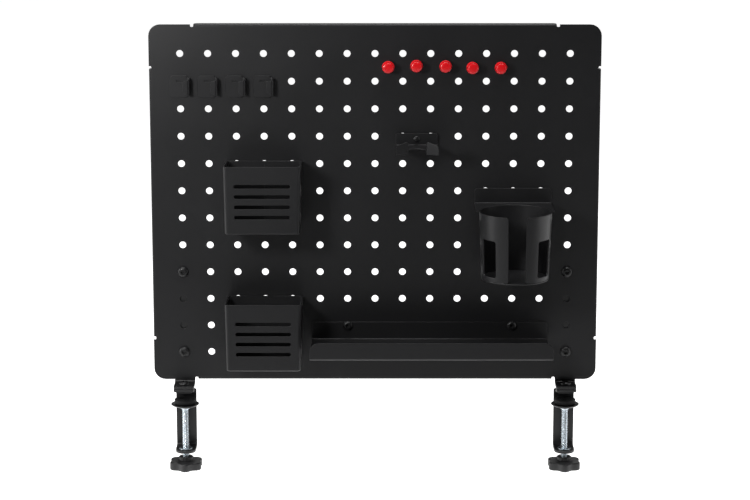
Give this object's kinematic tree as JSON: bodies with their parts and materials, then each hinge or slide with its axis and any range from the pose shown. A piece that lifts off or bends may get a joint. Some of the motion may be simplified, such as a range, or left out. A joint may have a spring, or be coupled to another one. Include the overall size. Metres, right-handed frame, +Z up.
{
  "type": "pegboard tool wall",
  "caption": "Black perforated steel panel on two screw clamps for a desk edge, with slotted bins, a cup holder, a tray, a forked hanger, cable clips and magnets.",
  "frame": {"origin": "midway between the two clamps, on the panel's front face, at the height of the desk top (underside of the upper clamp pads)", "axes": "+X to the right seen from the front, +Y from the front face towards the back, +Z up"},
  "size_m": [0.4124, 0.0929, 0.4184],
  "materials": {
    "powder_coat": "fine-textured semi-matt black powder coat",
    "clamp_paint": "smooth semi-gloss black",
    "black_fastener": "black oxide",
    "zinc_plate": "bright zinc plate",
    "nickel_plate": "nickel plate",
    "knob_plastic": "moulded black nylon",
    "black_rubber": "matt black rubber",
    "red_plastic": "glossy moulded red"
  },
  "bodies": {
    "root": {"peg_panel": "powder_coat", "flange_top": "powder_coat", "flange_bottom": "powder_coat", "flange_left": "powder_coat", "flange_right": "powder_coat", "upright_left": "clamp_paint", "clamp_frame_left": "clamp_paint", "jaw_pad_left": "black_rubber", "foot_screw_left": "black_fastener", "panel_screw_left_row9": "black_fastener", "panel_nut_left_row9": "black_fastener", "panel_screw_left_row12": "black_fastener", "panel_nut_left_row12": "black_fastener", "threaded_bush_left": "zinc_plate", "upright_right": "clamp_paint", "clamp_frame_right": "clamp_paint", "jaw_pad_right": "black_rubber", "foot_screw_right": "black_fastener", "panel_screw_right_row9": "black_fastener", "panel_nut_right_row9": "black_fastener", "panel_screw_right_row12": "black_fastener", "panel_nut_right_row12": "black_fastener", "threaded_bush_right": "zinc_plate", "tray": "powder_coat", "tray_screw_left": "black_fastener", "tray_screw_right": "black_fastener", "tray_nut_left": "black_fastener", "tray_nut_right": "black_fastener"},
    "bin_upper": {"bin_upper": "powder_coat"},
    "bin_lower": {"bin_lower": "powder_coat"},
    "cup_holder": {"cup_bracket": "powder_coat", "cup_shell": "powder_coat", "cup_floor": "powder_coat"},
    "twin_hanger": {"hanger_tab_strip": "powder_coat", "hanger_fork": "powder_coat", "hanger_rivet": "black_fastener"},
    "clip_1": {"cable_clip_1": "powder_coat"},
    "clip_2": {"cable_clip_2": "powder_coat"},
    "clip_3": {"cable_clip_3": "powder_coat"},
    "clip_4": {"cable_clip_4": "powder_coat"},
    "magnet_1": {"magnet_disc_1": "nickel_plate", "magnet_cap_1": "red_plastic"},
    "magnet_2": {"magnet_disc_2": "nickel_plate", "magnet_cap_2": "red_plastic"},
    "magnet_3": {"magnet_disc_3": "nickel_plate", "magnet_cap_3": "red_plastic"},
    "magnet_4": {"magnet_disc_4": "nickel_plate", "magnet_cap_4": "red_plastic"},
    "magnet_5": {"magnet_disc_5": "nickel_plate", "magnet_cap_5": "red_plastic"},
    "clamp_left_press": {"pressure_disc_left": "clamp_paint", "pressure_puck_left": "black_rubber"},
    "clamp_left_screw": {"clamp_screw_left": "zinc_plate", "clamp_knob_left": "knob_plastic"},
    "clamp_right_press": {"pressure_disc_right": "clamp_paint", "pressure_puck_right": "black_rubber"},
    "clamp_right_screw": {"clamp_screw_right": "zinc_plate", "clamp_knob_right": "knob_plastic"}
  },
  "joints": [
    {"name": "bin_upper_lift", "type": "slide", "parent": "root", "child": "bin_upper", "axis": [0, 0, 1], "range_m": [0, 0.0031]},
    {"name": "bin_lower_lift", "type": "slide", "parent": "root", "child": "bin_lower", "axis": [0, 0, 1], "range_m": [0, 0.0031]},
    {"name": "cup_holder_lift", "type": "slide", "parent": "root", "child": "cup_holder", "axis": [0, 0, 1], "range_m": [0, 0.0031]},
    {"name": "twin_hanger_lift", "type": "slide", "parent": "root", "child": "twin_hanger", "axis": [0, 0, 1], "range_m": [0, 0.0031]},
    {"name": "clip_1_lift", "type": "slide", "parent": "root", "child": "clip_1", "axis": [0, 0, 1], "range_m": [0, 0.0031]},
    {"name": "clip_2_lift", "type": "slide", "parent": "root", "child": "clip_2", "axis": [0, 0, 1], "range_m": [0, 0.0031]},
    {"name": "clip_3_lift", "type": "slide", "parent": "root", "child": "clip_3", "axis": [0, 0, 1], "range_m": [0, 0.0031]},
    {"name": "clip_4_lift", "type": "slide", "parent": "root", "child": "clip_4", "axis": [0, 0, 1], "range_m": [0, 0.0031]},
    {"name": "magnet_1_pull", "type": "slide", "parent": "root", "child": "magnet_1", "axis": [0, -1, 0], "range_m": [0, 0.03]},
    {"name": "magnet_2_pull", "type": "slide", "parent": "root", "child": "magnet_2", "axis": [0, -1, 0], "range_m": [0, 0.03]},
    {"name": "magnet_3_pull", "type": "slide", "parent": "root", "child": "magnet_3", "axis": [0, -1, 0], "range_m": [0, 0.03]},
    {"name": "magnet_4_pull", "type": "slide", "parent": "root", "child": "magnet_4", "axis": [0, -1, 0], "range_m": [0, 0.03]},
    {"name": "magnet_5_pull", "type": "slide", "parent": "root", "child": "magnet_5", "axis": [0, -1, 0], "range_m": [0, 0.03]},
    {"name": "clamp_left_travel", "type": "slide", "parent": "root", "child": "clamp_left_press", "axis": [0, 0, 1], "range_m": [-0.0375, 0.004]},
    {"name": "clamp_left_turn", "type": "hinge", "parent": "clamp_left_press", "child": "clamp_left_screw", "pos_m": [-0.1778, -0.0015, -0.04], "axis": [0, 0, 1], "range_deg": [-13510, 1455]},
    {"name": "clamp_right_travel", "type": "slide", "parent": "root", "child": "clamp_right_press", "axis": [0, 0, 1], "range_m": [-0.0375, 0.004]},
    {"name": "clamp_right_turn", "type": "hinge", "parent": "clamp_right_press", "child": "clamp_right_screw", "pos_m": [0.1778, -0.0015, -0.04], "axis": [0, 0, 1], "range_deg": [-13510, 1455]}
  ],
  "couplings": [
    {"joint": "clamp_left_turn", "follows": "clamp_left_travel", "rad_per_m": 6283.2},
    {"joint": "clamp_right_turn", "follows": "clamp_right_travel", "rad_per_m": 6283.2}
  ]
}
